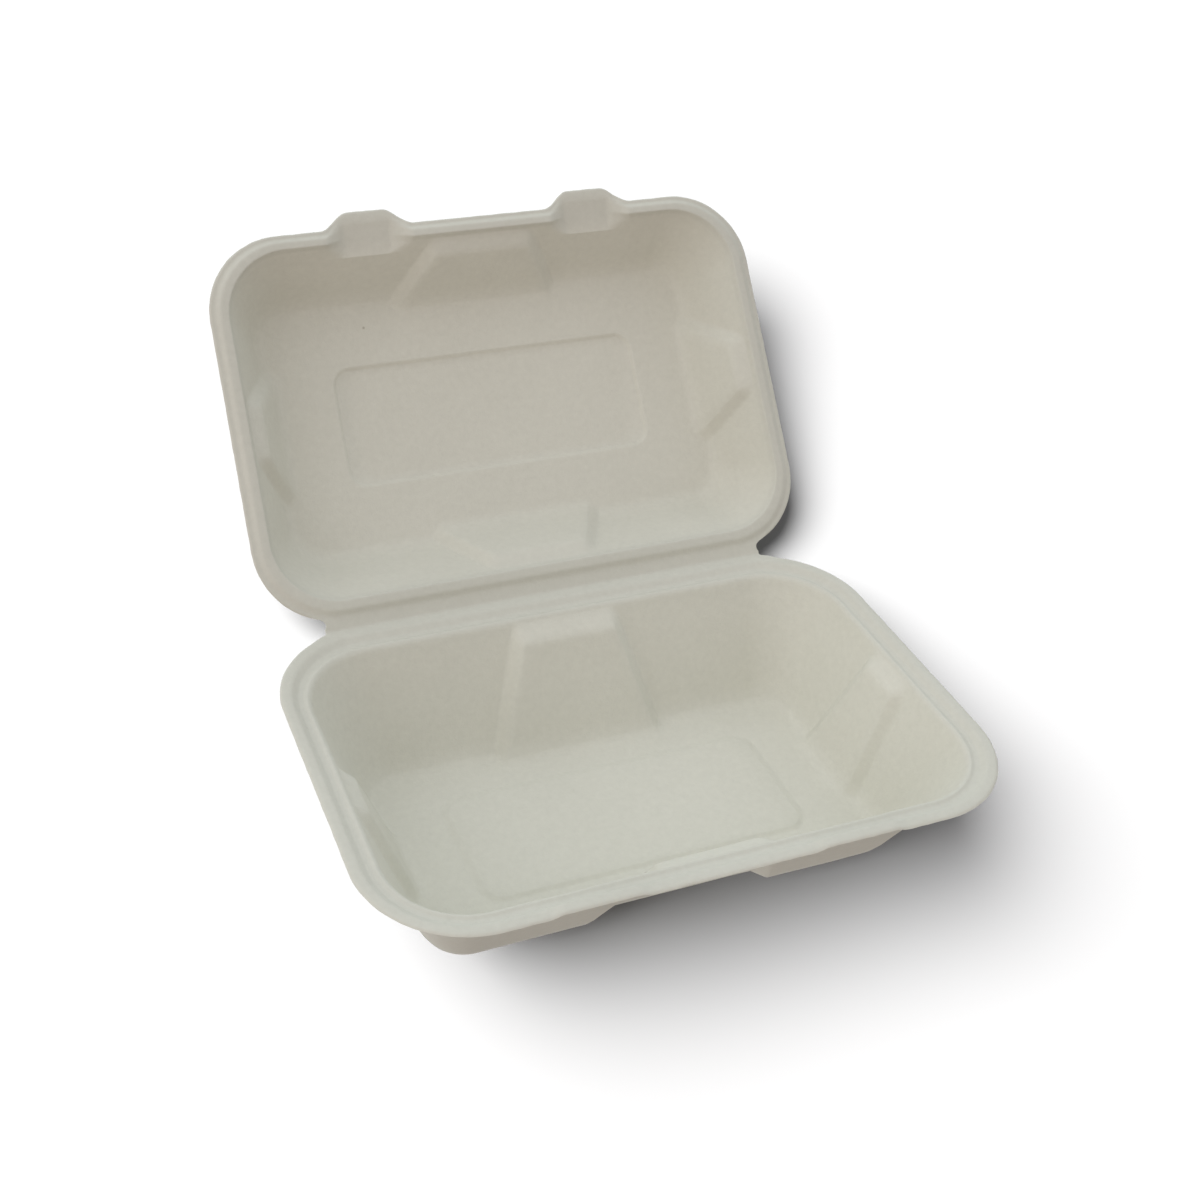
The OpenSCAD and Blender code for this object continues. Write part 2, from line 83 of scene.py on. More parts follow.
LID_RIM = [
    (0, LID_DROP), (0.3 * EDGE_ROUND, 0.24 * LID_DROP), (0.75 * EDGE_ROUND, 0), (LID_FLANGE, 0),
    (LID_FLANGE + 0.24 * RIDGE_SLOPE, -0.2 * RIDGE), (LID_FLANGE + 0.72 * RIDGE_SLOPE, -0.9 * RIDGE),
    (LID_FLANGE + RIDGE_SLOPE, -RIDGE), (LID_RIM_W - RIDGE_ROUND, -RIDGE),
    (LID_RIM_W - 0.5 * RIDGE_ROUND, -0.15), (LID_RIM_W - 0.06 * RIDGE_ROUND, 0.86),
]

# A station record: half width, to front, to back, radius, y of the back corners' centres, depth,
# share of the wall passed, the panels' share, the field's share and the place in the profile
HW, TF, TB, R, BC, DEP, WALL, PANEL, FIELD, PLACE = range(10)

# Places in the profile where a tab's lip and a catch end
LIP_END, CATCH_END = 4, 5

# The profile's sampling: where the panels start, the steps of the rounding at the foot, the fine
# step, the two degrees of smoothing, and the gaps between stations along the profile
SHELF_START, FOOT_STEPS, FINE_STEP, SHARP, SOFT = 0.08, 8, 0.1, 0.14, 0.55
EDGE_END, EDGE_GAP, RIM_GAP, SHELF_GAP = 1.2, 0.3, 0.46, 1.2
WALL_GAP, FOOT_GAP, FLOOR_GAP, FIELD_GAP = 4.2, 1.1, 4.5, 0.5

# The ring's sampling: steps beside the fold's panel, in a corner, in a straight stretch and over a
# tab, how far a panel's scale holds beside it, and the rings from the field to its middle
FOLD_STEPS, CORNER_STEPS, STRAIGHT_STEPS, TAB_STEPS, PAST_PANEL, BESIDE_PANEL = 16, 26, 8, 42, 9, 24.5
RINGS = (0.12, 0.3, 0.5, 0.7, 0.88)


def mix(a, b, t):
    return a + (b - a) * t


def clamp(v):
    return np.clip(v, 0.0, 1.0)


def ease(v):
    t = clamp(v)
    return t * t * (3 - 2 * t)


def wall_at(shape, s, panel):
    hx = mix(shape["mouth_w"], shape["floor_w"], s) / 2
    hy = mix(shape["mouth_d"], shape["floor_d"], s) / 2
    r = mix(shape["mouth_r"], shape["floor_r"], s)
    depth = mix(shape["mouth_deep"], shape["floor_deep"], s)
    return np.array([hx, hy, hy, r, hy - r, depth, s, panel, 0, 0])


def floor_at(shape, inset):
    hx, hy = shape["floor_w"] / 2 - inset, shape["floor_d"] / 2 - inset
    r = shape["floor_r"] - inset / 2
    return np.array([hx, hy, hy, r, hy - r, shape["floor_deep"], 1, 1, 0, 0])


def field_at(shape, front, grow, depth):
    hx, hy, r = shape["field_w"] / 2 + grow, shape["field_d"] / 2 + grow, FIELD_R + grow
    return np.array([hx, shape["field_d"] / 2 + front, hy, r, hy - r, depth, 1, 0, 1, 0])


def tray_rim(o, h):
    f = o / RIM_W
    return np.array([
        TRAY_W / 2 - o, FRONT_Y - o, mix(FOLD_EDGE, MOUTH_D / 2, f), CORNER_R - o,
        mix(ARC_CENTRE_Y, MOUTH_D / 2 - (CORNER_R - RIM_W), f), h + CREASE, 0, 0, 0, 0,
    ])


def lid_rim(o, h):
    f = o / LID_RIM_W
    flange_back = mix(FOLD_EDGE, MOUTH_D / 2, TRAY_FLAT / RIM_W)
    if o < LID_FLANGE:
        back = mix(FOLD_EDGE, flange_back, o / LID_FLANGE)
        arc_back = mix(LID_ARC_Y, flange_back, o / LID_FLANGE)
    else:
        back = arc_back = mix(flange_back, MOUTH_D / 2, (o - LID_FLANGE) / (LID_RIM_W - LID_FLANGE))
    r = mix(LID_CORNER_R, LID_MOUTH_R, f)
    return np.array([
        LID_W / 2 - o, mix(LID_FRONT_Y, MOUTH_D / 2, f), back, r, arc_back - r,
        h + CREASE, 0, 0, 0, 0,
    ])


def coarse(shape):
    """Corners of the profile, from the rim's edge to the field, and how many lie on the rim."""
    rim = [lid_rim(*e) for e in LID_RIM] if shape["is_lid"] else [tray_rim(*e) for e in TRAY_RIM]
    deep, reach = shape["floor_deep"], shape["foot_round"]
    fall = deep - shape["mouth_deep"]
    shelf = shape["shelf_deep"] - shape["mouth_deep"]
    foot = wall_at(shape, 1 - reach / math.hypot((shape["mouth_w"] - shape["floor_w"]) / 2, fall), 1)
    turn, flat = wall_at(shape, 1, 1), floor_at(shape, reach)
    rows = rim + [wall_at(shape, SHELF_START * shelf / fall, 0), wall_at(shape, shelf / fall, 1)]
    for k in range(FOOT_STEPS + 1):
        t = k / FOOT_STEPS
        rows.append(mix(mix(foot, turn, t), mix(turn, flat, t), t))
    rows.append(field_at(shape, FIELD_EDGE, shape["field_edge"], deep))
    rows.append(field_at(shape, 0, 0, deep - shape["field_h"]))
    rows = np.array(rows)
    rows[:, PLACE] = np.arange(len(rows))
    return rows, len(rim)


def smoothed(values, sigma, step):
    n = int(4 * sigma / step) + 1
    kernel = np.exp(-0.5 * (np.arange(-n, n + 1) * step / sigma) ** 2)
    kernel /= kernel.sum()
    padded = np.concatenate([
        2 * values[:1] - values[n:0:-1], values, 2 * values[-1:] - values[-2 : -n - 2 : -1]
    ])
    return np.stack([np.convolve(padded[:, k], kernel, "valid") for k in range(values.shape[1])], 1)


def stations(shape):
    """Rounded profile as dense records."""
    rows, n_rim = coarse(shape)
    run = np.hypot(np.diff(rows[:, HW]), np.diff(rows[:, DEP]))
    s = np.concatenate([[0], np.cumsum(run)])
    fine_s = np.arange(0, s[-1] + FINE_STEP / 2, FINE_STEP)
    fine = np.stack([np.interp(fine_s, s, rows[:, k]) for k in range(10)], 1)
    sharp, soft = smoothed(fine, SHARP, FINE_STEP), smoothed(fine, SOFT, FINE_STEP)
    shelf = s[n_rim]
    w = ease((fine_s - shelf) / 3)[:, None]
    if shape["is_lid"]:
        w = w * ease((s[-2] - fine_s) / 3)[:, None]
    fine = mix(sharp, soft, w)
    wall_end, floor_end = s[n_rim + 2], s[n_rim + 2 + FOOT_STEPS]
    knots = [0.0]
    while knots[-1] < s[-1] - EDGE_GAP:
        here = knots[-1]
        if here < EDGE_END:
            gap = EDGE_GAP
        elif here < shelf:
            gap = RIM_GAP
        elif here < s[n_rim + 1] + 2:
            gap = SHELF_GAP
        elif here < wall_end - 1:
            gap = WALL_GAP
        elif here < floor_end:
            gap = FOOT_GAP
        elif here < s[-2] - SHELF_GAP:
            gap = min(FLOOR_GAP, max(FIELD_GAP, s[-2] - SHELF_GAP - here))
        else:
            gap = FIELD_GAP
        knots.append(here + gap)
    knots[-1] = s[-1]
    picked = np.stack([np.interp(knots, fine_s, fine[:, k]) for k in range(10)], 1)
    return picked, rows, n_rim


def rounded_share(v, top, facet):
    """How far a panel is pushed in at v, with its corners rounded by a mean over its surroundings."""
    d = np.array([-0.45, -0.22, 0.0, 0.22, 0.45])
    return float(np.mean(clamp((top / 2 - np.abs(abs(v) + d)) / facet)))


def lid_notch_path():
    """The lid's edge from the end of the fold round the notch to the corner's arc."""
    cx, cy = FOLD_W / 2 + 0.75 * NOTCH_R, FOLD_Y - 1.2 * NOTCH_R
    points = [(FOLD_W / 2, FOLD_EDGE)]
    for a in (*range(224, 127, -12), 118):
        points.append((cx + NOTCH_R * math.cos(math.radians(a)), cy - NOTCH_R * math.sin(math.radians(a))))
    return points


def tray_notch_path():
    """The tray's edge from the end of the fold to the corner's arc."""
    points = [(FOLD_W / 2, FOLD_EDGE)]
    for k in (1, 2, 3, 4, 5):
        a = math.radians(15 * k)
        points.append((FOLD_W / 2 + NOTCH_R / 2 * (1 - math.cos(a)), FOLD_EDGE - NOTCH_BACK * math.sin(a)))
    return points


def columns(shape):
    """Points of the right half, from the middle of the fold to the middle of the front."""
    S, rows, n_rim = stations(shape)
    is_lid = shape["is_lid"]
    q = S[:, PLACE]
    low, field = rows[-3], rows[-1]
    in_rim = clamp(q / 3)
    flat = np.where(q < 3, mix(CREASE, S[:, DEP], ease(q - 2)), S[:, DEP])
    fold_z = flat.copy()
    if is_lid:
        fold_z[1:6:2] += FOLD_LINE
    cx = S[:, HW] - S[:, R]
    top_run = rows[n_rim][HW] - rows[n_rim][R]
    low_run = low[HW] - low[R]
    out = []

    def along(c1, c2, run, field_run):
        return mix(mix(c1, c2, S[:, WALL]), c2 * field_run / run, S[:, FIELD])

    def x_at(c1):
        half = LONG_TOP / 2
        c2 = float(np.interp(
            c1, [0, half - FACET_W, half, top_run],
            [0, shape["long_foot"] / 2 - FACET_W, shape["long_foot"] / 2, low_run],
        ))
        return along(c1, c2, low_run, field[HW] - field[R])

    def y_at(c1):
        half = SHORT_TOP / 2
        foot = shape["short_foot"] / 2
        tops = [0, half - FACET_W, half, half + PAST_PANEL]
        feet = [0, foot - FACET_W, foot, foot + PAST_PANEL]
        c2 = float(np.interp(abs(c1), tops, feet)) * np.sign(c1)
        return along(c1, c2, low[TF] - low[R], field[TF] - field[R])

    def put(x, y, z, tag=""):
        ones = np.ones(len(S))
        out.append(dict(p=np.stack([x * ones, y * ones, z * ones], 1), tag=tag))

    def push_at(share, name="push"):
        return shape[name] * share * S[:, PANEL]

    # Fold side: the panel, then out to the end of the fold
    half = LONG_TOP / 2
    middle, facet = np.linspace(0, half - FACET_W - 1, 5), np.linspace(half - FACET_W, half + 1, 8)
    for x in np.concatenate([middle, facet]):
        share = rounded_share(x, LONG_TOP, FACET_W)
        put(x_at(x), S[:, TB] - push_at(share), fold_z, "fold")
    if is_lid:
        turn = np.degrees(np.arccos(clamp((FOLD_W / 2 + NOTCH_R * 0.6 - cx) / S[:, R])))
        turn, first = mix(turn, 66.0, in_rim), 90.0 * np.ones(len(S))
        path = lid_notch_path()
    else:
        rise = S[:, TB] - NOTCH_BACK * (1 - in_rim) - S[:, BC]
        turn = np.degrees(np.arcsin(np.minimum(1, rise / S[:, R])))
        turn, first = mix(turn, np.minimum(turn, 76.0), in_rim), turn
        path = tray_notch_path()

    def arc(a):
        a = np.radians(a)
        return cx + S[:, R] * np.cos(a), S[:, BC] + S[:, R] * np.sin(a)

    start_x, edge_x = arc(first)[0], x_at(half + 1)
    if is_lid:
        end_x = mix(FOLD_W / 2, start_x, in_rim)
    else:
        end_x = start_x + (1 - in_rim) * (FOLD_W / 2 - start_x[0])
    for k in range(1, FOLD_STEPS + 1):
        f = k / FOLD_STEPS
        z = fold_z if k < FOLD_STEPS - 2 else flat
        put(mix(edge_x, end_x, f), S[:, TB], z, "fold")
    for k, (ex, ey) in enumerate(path[1:], 1):
        ax, ay = arc(mix(first, turn, k / len(path)))
        if is_lid:
            put(mix(ex, ax, in_rim), mix(ey, ay, in_rim), flat, "notch")
        else:
            put(ax + (1 - in_rim) * (ex - ax[0]), ay + (1 - in_rim) * (ey - ay[0]), flat, "notch")

    # Back corner
    for k in range(CORNER_STEPS, -1, -1):
        f = k / CORNER_STEPS
        a = np.radians(turn * f)
        near = ease((1 - f) * 6)
        z = mix(flat, S[:, DEP], near)
        put(cx + S[:, R] * np.cos(a), S[:, BC] + S[:, R] * np.sin(a), z)

    # Side: straight, panel, straight
    half = SHORT_TOP / 2
    top = y_at(half + 1)
    for k in range(1, STRAIGHT_STEPS):
        put(S[:, HW], mix(S[:, BC], top, k / STRAIGHT_STEPS), S[:, DEP])
    panel = np.concatenate([np.linspace(half + 1, half - FACET_W, 8), [half - FACET_W - 2]])
    for y in np.concatenate([panel, [0], -panel[::-1]]):
        share = rounded_share(y, SHORT_TOP, FACET_W)
        put(S[:, HW] - push_at(share, "side_push"), y_at(y), S[:, DEP])
    front_c = S[:, R] - S[:, TF]
    for k in range(1, STRAIGHT_STEPS):
        put(S[:, HW], mix(-top, front_c, k / STRAIGHT_STEPS), S[:, DEP])

    # Front corner
    for k in range(CORNER_STEPS + 1):
        a = -math.pi / 2 * k / CORNER_STEPS
        put(cx + S[:, R] * math.cos(a), front_c + S[:, R] * math.sin(a), S[:, DEP])

    # Front: straight, tab or catch, straight, panel
    outer, inner = TAB_X + TAB_FOOT / 2 + 0.5, TAB_X - TAB_FOOT / 2 - 0.5
    far = x_at(outer)
    for k in range(1, 5):
        put(mix(cx, far, k / 5), -S[:, TF], S[:, DEP])
    half = LONG_TOP / 2
    xs = list(np.linspace(outer, inner, TAB_STEPS + 1)) + [BESIDE_PANEL]
    xs += list(np.linspace(half + 1, half - FACET_W, 8)) + list(np.linspace(half - FACET_W - 2, 0, 4))
    for x in xs:
        share = rounded_share(x, LONG_TOP, FACET_W)
        p = np.stack([x_at(x), push_at(share) - S[:, TF], S[:, DEP]], 1)
        u = abs(x - TAB_X)
        p = (tab if is_lid else catch)(p, u, q)
        put(p[:, 0], p[:, 1], p[:, 2])
    return out, S


def catch_share(u):
    return clamp((POCKET_MOUTH_W - 2 * u) / (POCKET_MOUTH_W - CATCH_W))


def catch(p, u, q):
    """A low step on the tray's rim, which ends on the recess."""
    p = p.copy()
    p[:, 2] -= CATCH_H * ease(catch_share(u)) * ease(CATCH_END - q)
    return p


def tab(p, u, q):
    """The lip stands out, and the pocket's face slopes from it into the front wall."""
    clear = CATCH_H + CREASE
    n = len(LID_RIM)
    bulge = TAB_OUT * ease((TAB_FOOT / 2 - u) / (TAB_FOOT / 2 - TAB_TOP / 2))
    lip = p + np.stack([0 * q, -bulge + 0 * q, clear * ease(catch_share(u)) + 0 * q], 1)
    t = clamp((q - LIP_END) / (n + 1 - LIP_END))
    face = np.stack([
        p[:, 0], -mix(LID_FRONT_Y + TAB_OUT / 3, LID_FRONT_Y - LID_RIM_W - POCKET_REACH, t),
        mix(POCKET_LIP + clear, POCKET_DEPTH, t),
    ], 1)
    share = float(clamp((POCKET_MOUTH_W - 2 * u) / (POCKET_MOUTH_W - POCKET_W)))
    pocket = mix(p, face, share * clamp(n + 2 - q)[:, None])
    return mix(lip, pocket, clamp(q - LIP_END + 1)[:, None])


def full_ring(half):
    """Rows of the whole ring from the right half: (stations, columns, 3)."""
    right = np.stack([c["p"] for c in half], 1)
    left = right[:, -2:0:-1].copy()
    left[..., 0] *= -1
    return np.concatenate([right, left], 1)


# Unevenness of the sheet and of its edge: the length, height and own seed of each wave
SHEET_WAVES = ((26.0, 0.22, 0), (9.0, 0.07, 7))
EDGE_WAVES = ((3.2, 0.16, 3), (1.1, 0.08, 5))


def wobble(p, scale, seed):
    return np.array([noise.noise(Vector((a[0] / scale + seed, a[1] / scale, a[2] / scale))) for a in p])


def waves(p, kinds, seed):
    return sum(wobble(p, length, seed + own) * height for length, height, own in kinds)


def skins(shape, seed):
    """Inner and outer skin in the closed, upright frame, as x, y and depth."""
    half, S = columns(shape)
    inner = full_ring(half)
    folds = [c["tag"] == "fold" for c in half]
    count = sum(folds)
    last = inner[-1]
    centre = np.array([0, 0, last[0, 2]])
    rings = [mix(last, centre, t) for t in RINGS]
    inner = np.concatenate([inner, np.array(rings)], 0)
    along_profile = np.gradient(inner, axis=0)
    along_ring = (np.roll(inner, -1, 1) - np.roll(inner, 1, 1)) / 2
    normal = np.cross(along_ring, along_profile)
    normal /= np.maximum(np.linalg.norm(normal, axis=2, keepdims=True), 1e-9)
    if normal[-3, 0, 2] < 0:
        normal = -normal
    level = [c["tag"] in ("fold", "notch") for c in half]
    corner = max(k for k, f in enumerate(level) if f)
    share = np.array([1.0 if f else max(0.0, 1 - (k - corner) / 6) for k, f in enumerate(level)])
    share = np.concatenate([share, share[-2:0:-1]])
    share = share[None, :] * np.concatenate([clamp(4 - S[:, PLACE]), np.zeros(len(rings))])[:, None]
    normal = mix(normal, np.array([0.0, 0.0, 1.0]), share[..., None])
    normal /= np.maximum(np.linalg.norm(normal, axis=2, keepdims=True), 1e-9)
    m, n = inner.shape[:2]
    low = waves(inner.reshape(-1, 3), SHEET_WAVES, seed).reshape(m, n)
    inside = ease((np.arange(m) - 14) / 14)[:, None]
    inner = inner + normal * (low * inside)[..., None]
    edge = waves(inner[0], EDGE_WAVES, seed)
    rim_dir = inner[0] - inner[6]
    rim_dir[:, 2] = 0
    rim_dir /= np.linalg.norm(rim_dir, axis=1, keepdims=True)
    keep = np.ones(n)
    keep[: count + 1] = 0
    keep[n - count :] = 0
    for j in range(4):
        inner[j] += rim_dir * (edge * keep * (1 - j / 3))[:, None]
    outer = inner + normal * SHEET
    # Share from the rim's edge into the hollow, which sets painted shade on the rim and painted light
    # deeper inside
    painted_light_depth = np.concatenate([ease((S[:, PLACE] - 7) / 6), np.ones(len(rings))])
    return inner, outer, count, np.repeat(painted_light_depth, n)


def settle(p):
    """From the upright frame in millimetres to the row frame in metres."""
    t = math.radians(LEAN)
    y = p[..., 1] * math.cos(t) + p[..., 2] * math.sin(t) - MIDDLE_Y
    z = -p[..., 1] * math.sin(t) + p[..., 2] * math.cos(t) - LOW_Z
    return np.stack([p[..., 0], y, z], -1) / 1000


def tray_frame(p):
    return settle(np.stack([p[..., 0], p[..., 1], TRAY_H - p[..., 2]], -1))


def lid_frame(p):
    a = math.radians(OPEN)
    y, h = p[..., 1] - FOLD_Y, p[..., 2]
    return settle(np.stack([
        p[..., 0], FOLD_Y + y * math.cos(a) + h * math.sin(a), TRAY_H - y * math.sin(a) + h * math.cos(a)
    ], -1))


def skin_faces(i0, o0, m, n, is_fold):
    """Faces of both skins and of the edge, apart from the fold, and the edge's lines."""
    ci, co = i0 + 2 * m * n, i0 + 2 * m * n + 1
    faces, lines = [], []
    for j in range(m - 1):
        for i in range(n):
            k = (i + 1) % n
            a, b, c, d = j * n + i, j * n + k, (j + 1) * n + k, (j + 1) * n + i
            faces.append((i0 + a, i0 + b, i0 + c, i0 + d))
            faces.append((o0 + d, o0 + c, o0 + b, o0 + a))
    for i in range(n):
        k = (i + 1) % n
        faces.append((ci, i0 + (m - 1) * n + i, i0 + (m - 1) * n + k))
        faces.append((co, o0 + (m - 1) * n + k, o0 + (m - 1) * n + i))
        if not (is_fold[i] and is_fold[k]):
            faces.append((i0 + i, o0 + i, o0 + k, i0 + k))
            lines += [(i0 + i, i0 + k), (o0 + i, o0 + k)]
    return faces, lines


def fold_faces(tray, lid):
    """Faces that join the tray's edge to the lid's along the fold, and the lines at its ends."""
    (ti, to, tn, count), (li, lo, ln, _) = tray, lid
    faces, lines = [], []
    for side in (1, -1):
        def at(n, k):
            return k if side == 1 or k == 0 else n - k
        for k in range(count - 1):
            faces.append((ti + at(tn, k), ti + at(tn, k + 1), li + at(ln, k + 1), li + at(ln, k)))
            faces.append((to + at(tn, k), to + at(tn, k + 1), lo + at(ln, k + 1), lo + at(ln, k)))
        e = count - 1
        faces.append((ti + at(tn, e), to + at(tn, e), lo + at(ln, e), li + at(ln, e)))
        lines += [(ti + at(tn, e), li + at(ln, e)), (to + at(tn, e), lo + at(ln, e))]
    return faces, lines


def build_shell():
    """One sheet: tray, fold and lid. The attribute is 0 outside, 0.5 on the rim and 1 inside, and sets
    painted shade outside and on the rim and painted light inside.
    """
    verts, faces, sharp, inside, parts = [], [], [], [], []
    base = 0
    for shape, place, seed in ((TRAY, tray_frame, 0.0), (LID, lid_frame, 40.0)):
        inner, outer, count, painted_light_depth = skins(shape, seed)
        # The attribute carries painted shade: darkest on the outer skin, lighter on the rim, lightest
        # inside
        inside += [*(0.5 + 0.5 * painted_light_depth), *np.zeros(len(painted_light_depth)), 1.0, 0.0]
        m, n = inner.shape[:2]
        both = np.concatenate([place(inner).reshape(-1, 3), place(outer).reshape(-1, 3)])
        middles = [both[(m - 1) * n : m * n].mean(0), both[2 * m * n - n :].mean(0)]
        verts += [both, np.array(middles)]
        is_fold = [k < count or k > n - count for k in range(n)]
        more, lines = skin_faces(base, base + m * n, m, n, is_fold)
        faces += more
        sharp += lines
        parts.append((base, base + m * n, n, count))
        base += 2 * m * n + 2
    more, lines = fold_faces(*parts)
    mesh = bpy.data.meshes.new("clamshell")
    mesh.from_pydata([tuple(v) for v in np.concatenate(verts)], [], faces + more)
    work = bmesh.new()
    work.from_mesh(mesh)
    bmesh.ops.recalc_face_normals(work, faces=work.faces)
    work.verts.ensure_lookup_table()
    for f in work.faces:
        f.smooth = True
    for a, b in sharp + lines:
        e = work.edges.get((work.verts[a], work.verts[b]))
        if e:
            e.smooth = False
    work.to_mesh(mesh)
    work.free()
    mesh.attributes.new("inside", "FLOAT", "POINT").data.foreach_set("value", inside)
    shell = bpy.data.objects.new("clamshell", mesh)
    bpy.context.scene.collection.objects.link(shell)
    return shell


class Nodes:
    """Short way to write the node tree of a material or a world."""

    def __init__(self, owner):
        owner.use_nodes = True
        self.tree = owner.node_tree
        self.tree.nodes.clear()

    def add(self, kind, **settings):
        node = self.tree.nodes.new(kind)
        for key, value in settings.items():
            setattr(node, key, value)
        return node

    def put(self, socket, value):
        """Link the socket to another, or set its value."""
        if isinstance(value, bpy.types.NodeSocket):
            self.tree.links.new(value, socket)
        else:
            socket.default_value = value

    def math(self, kind, *values):
        node = self.add("ShaderNodeMath", operation=kind)
        for socket, value in zip(node.inputs, values):
            self.put(socket, value)
        return node.outputs[0]

    def mix(self, kind, share, a, b):
        node = self.add("ShaderNodeMix", data_type="RGBA", blend_type=kind)
        for place, value in ((0, share), (6, a), (7, b)):
            self.put(node.inputs[place], value)
        return node.outputs[2]

    def ramp(self, value, stops):
        node = self.add("ShaderNodeValToRGB")
        self.put(node.inputs["Fac"], value)
        elements = node.color_ramp.elements
        elements[0].position, elements[0].color = stops[0]
        elements[1].position, elements[1].color = stops[-1]
        for position, colour in stops[1:-1]:
            elements.new(position).color = colour
        return node.outputs["Color"]

    def noise(self, scale, detail, rough, vector):
        node = self.add("ShaderNodeTexNoise")
        for key, value in (("Vector", vector), ("Scale", scale), ("Detail", detail), ("Roughness", rough)):
            self.put(node.inputs[key], value)
        return node.outputs["Fac"]


def srgb(r, g, b):
    def lin(c):
        c /= 255
        return c / 12.92 if c <= 0.04045 else ((c + 0.055) / 1.055) ** 2.4
    return (lin(r), lin(g), lin(b), 1.0)


# Colours of the fibre where its cloudy base is dark and pale, and of a fleck
DARK_FIBRE, PALE_FIBRE, FLECK = srgb(205, 205, 193), srgb(209, 209, 197), srgb(128, 118, 96)
# Tones that multiply them: painted shade outside and on the rim, painted light inside, and in the mottle's
# hollows and heights
PAINTED_LIGHT_TONES = [(0.0, (0.8, 0.8, 0.81, 1)), (0.5, (0.925, 0.925, 0.925, 1)), (1.0, (1.02, 1.015, 1.01, 1))]
MOTTLE_TONES = [(0.25, (0.965, 0.965, 0.962, 1)), (0.75, (1.03, 1.03, 1.03, 1))]
# Features per metre
CLOUD, MOTTLE, GRAIN, FLECKS = 14.0, 420.0, 1500.0, 42.0
# Share of cells without a fleck, a fleck's core and reach in cells, and its strength
NO_FLECK, FLECK_CORE, FLECK_REACH, FLECK_SHARE = 0.9, 0.012, 0.03, 0.45
MOTTLE_HEIGHT, BUMP_SHARE, BUMP_HEIGHT = 1.6, 0.55, 0.00015


def fibre_material():
    mat = bpy.data.materials.new("fibre")
    n = Nodes(mat)
    out = n.add("ShaderNodeOutputMaterial")
    shader = n.add("ShaderNodeBsdfPrincipled")
    n.put(out.inputs["Surface"], shader.outputs["BSDF"])
    for key, value in (
        ("Roughness", 0.82), ("Specular IOR Level", 0.25), ("Sheen Weight", 0.06), ("Sheen Roughness", 0.6),
    ):
        shader.inputs[key].default_value = value
    coords = n.add("ShaderNodeTexCoord").outputs["Object"]
    cloud = n.noise(CLOUD, 3.0, 0.5, coords)
    mottle = n.noise(MOTTLE, 4.0, 0.6, coords)
    grain = n.noise(GRAIN, 3.0, 0.6, coords)

    inside = n.add("ShaderNodeAttribute", attribute_name="inside").outputs["Fac"]
    colour = n.ramp(cloud, [(0.3, DARK_FIBRE), (0.7, PALE_FIBRE)])
    # Painted shade on the outer skin and the rim, painted light inside
    colour = n.mix("MULTIPLY", 1.0, colour, n.ramp(inside, PAINTED_LIGHT_TONES))
    colour = n.mix("MULTIPLY", 1.0, colour, n.ramp(mottle, MOTTLE_TONES))

    # Sparse dark flecks of unbleached fibre
    cells = n.add("ShaderNodeTexVoronoi", feature="F1")
    n.put(cells.inputs["Vector"], coords)
    n.put(cells.inputs["Scale"], FLECKS)
    chosen = n.add("ShaderNodeSeparateColor")
    n.put(chosen.inputs["Color"], cells.outputs["Color"])
    rare = n.math("GREATER_THAN", chosen.outputs["Red"], NO_FLECK)
    near = n.add("ShaderNodeMapRange")
    for key, value in (
        ("Value", cells.outputs["Distance"]), ("From Min", FLECK_CORE), ("From Max", FLECK_REACH),
        ("To Min", 1.0), ("To Max", 0.0),
    ):
        n.put(near.inputs[key], value)
    fleck = n.math("MULTIPLY", n.math("MULTIPLY", rare, near.outputs["Result"]), FLECK_SHARE)
    n.put(shader.inputs["Base Color"], n.mix("MIX", fleck, colour, FLECK))

    bump = n.add("ShaderNodeBump")
    n.put(bump.inputs["Strength"], BUMP_SHARE)
    n.put(bump.inputs["Distance"], BUMP_HEIGHT)
    n.put(bump.inputs["Height"], n.math("MULTIPLY_ADD", mottle, MOTTLE_HEIGHT, grain))
    n.put(shader.inputs["Normal"], bump.outputs["Normal"])
    return mat


def leaned(v):
    """Direction from the upright frame to the row frame."""
    t = math.radians(LEAN)
    return Vector((v[0], v[1] * math.cos(t) + v[2] * math.sin(t), -v[1] * math.sin(t) + v[2] * math.cos(t)))


# The camera fitted to the photograph, as seen from the upright tray: angles in degrees, the
# distance to its target in millimetres, and focal length and centre in pixels of the square frame
AZIMUTH, ELEVATION, ROLL, DISTANCE = -22.98938, 32.43038, 3.73762, 697.55671
TARGET = (11.776431, 75.03956 + FOLD_Y, TRAY_H)
FOCAL, CENTRE_X, CENTRE_Y, FRAME, SENSOR = 1642.27768, 511.62145, 486.25427, 1200, 36


def make_camera():
    az, el, roll = math.radians(AZIMUTH), math.radians(ELEVATION), math.radians(ROLL)
    back = Vector((math.sin(az) * math.cos(el), -math.cos(az) * math.cos(el), math.sin(el)))
    right0 = Vector((math.cos(az), math.sin(az), 0))
    up0 = back.cross(right0)
    right = right0 * math.cos(roll) + up0 * math.sin(roll)
    up = -right0 * math.sin(roll) + up0 * math.cos(roll)
    centre = Vector(TARGET) + back * DISTANCE
    spot = Vector([float(c) for c in settle(np.array(centre))])
    data = bpy.data.cameras.new("camera")
    data.sensor_width = SENSOR
    data.lens = FOCAL / FRAME * SENSOR
    data.shift_x = (FRAME / 2 - CENTRE_X) / FRAME
    data.shift_y = (CENTRE_Y - FRAME / 2) / FRAME
    data.clip_start, data.clip_end = 0.01, 20
    cam = bpy.data.objects.new("camera", data)
    turned = Matrix([leaned(v) for v in (right, up, back)]).transposed()
    cam.matrix_world = Matrix.Translation(spot) @ turned.to_4x4()
    bpy.context.scene.collection.objects.link(cam)
    bpy.context.scene.camera = cam


FLOOR_GREY, FLOOR_HALF = 0.13, 3.0


